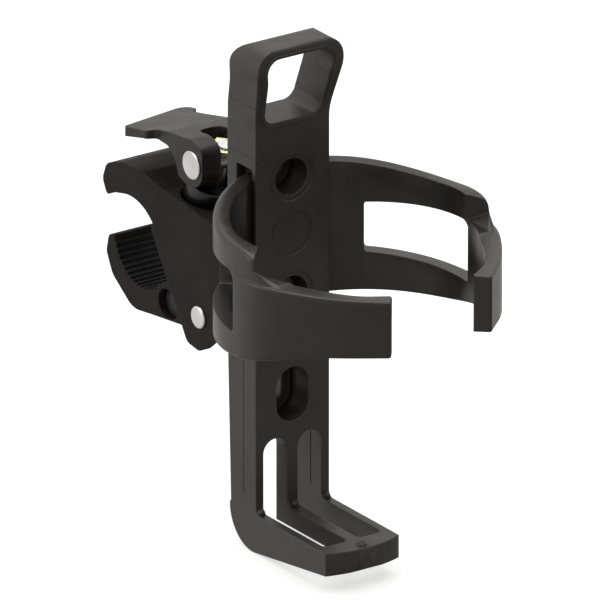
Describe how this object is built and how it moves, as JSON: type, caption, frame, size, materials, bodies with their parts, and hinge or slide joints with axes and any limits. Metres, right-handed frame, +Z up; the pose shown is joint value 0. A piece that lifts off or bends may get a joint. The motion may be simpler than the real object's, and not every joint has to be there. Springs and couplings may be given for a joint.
{
  "type": "bicycle water bottle cage",
  "caption": "Black moulded bottle cage with handle loop, slotted foot and windowed arms, on a swivelling quick-release clamp for a round bar.",
  "frame": {"origin": "centre of the clamped bar, in the middle of the clamp's width", "axes": "+X along the bar, to the right seen from the bottle's side; +Y back, from the cage towards the bar; +Z up along the spine"},
  "size_m": [0.0804, 0.1509, 0.1488],
  "materials": {
    "blade_moulding": "satin black nylon",
    "arm_moulding": "satin black nylon",
    "clamp_moulding": "satin black nylon",
    "lever_moulding": "satin black nylon",
    "grip_rubber": "matt ribbed",
    "washer_nylon": "smooth",
    "bright_steel": "bright, lightly scratched",
    "zinc_steel": "zinc plated",
    "black_steel": "black oxide",
    "yellow_zinc": "yellow zinc plated"
  },
  "bodies": {
    "clamp": {"clamp_body": "clamp_moulding", "body_pad": "grip_rubber", "hinge_pin": "bright_steel", "swivel_bolt": "black_steel", "swivel_nut": "zinc_steel", "swivel_washer": "washer_nylon", "bolt_washer": "zinc_steel", "cam_seat": "washer_nylon"},
    "cage": {"spine": "blade_moulding", "left_arm": "arm_moulding", "right_arm": "arm_moulding", "back_cover": "blade_moulding", "cover_screws": "zinc_steel"},
    "jaw": {"clamp_jaw": "clamp_moulding", "jaw_pad": "grip_rubber"},
    "draw_bolt": {"tension_bolt": "zinc_steel", "tension_nut": "yellow_zinc", "cam_pin": "bright_steel", "barrel_nut": "black_steel"},
    "lever": {"lever": "lever_moulding"}
  },
  "joints": [
    {"name": "cage_swivel", "type": "hinge", "parent": "clamp", "child": "cage", "pos_m": [0, -0.0628, 0.004], "axis": [0, 1, 0], "continuous": true},
    {"name": "bolt_draw", "type": "slide", "parent": "clamp", "child": "draw_bolt", "axis": [0, 0.0698, -0.9976], "range_m": [0, 0.00206]},
    {"name": "lever_swing", "type": "hinge", "parent": "draw_bolt", "child": "lever", "pos_m": [0, -0.0287, 0.0332], "axis": [1, 0, 0], "range_deg": [0, 100]},
    {"name": "jaw_swing", "type": "hinge", "parent": "clamp", "child": "jaw", "pos_m": [0, -0.0336, -0.0099], "axis": [-1, 0, 0], "range_deg": [0, 5.7]}
  ],
  "couplings": [
    {"joint": "lever_swing", "follows": "bolt_draw", "rad_per_m": 846.3},
    {"joint": "jaw_swing", "follows": "bolt_draw", "rad_per_m": 47.73}
  ]
}
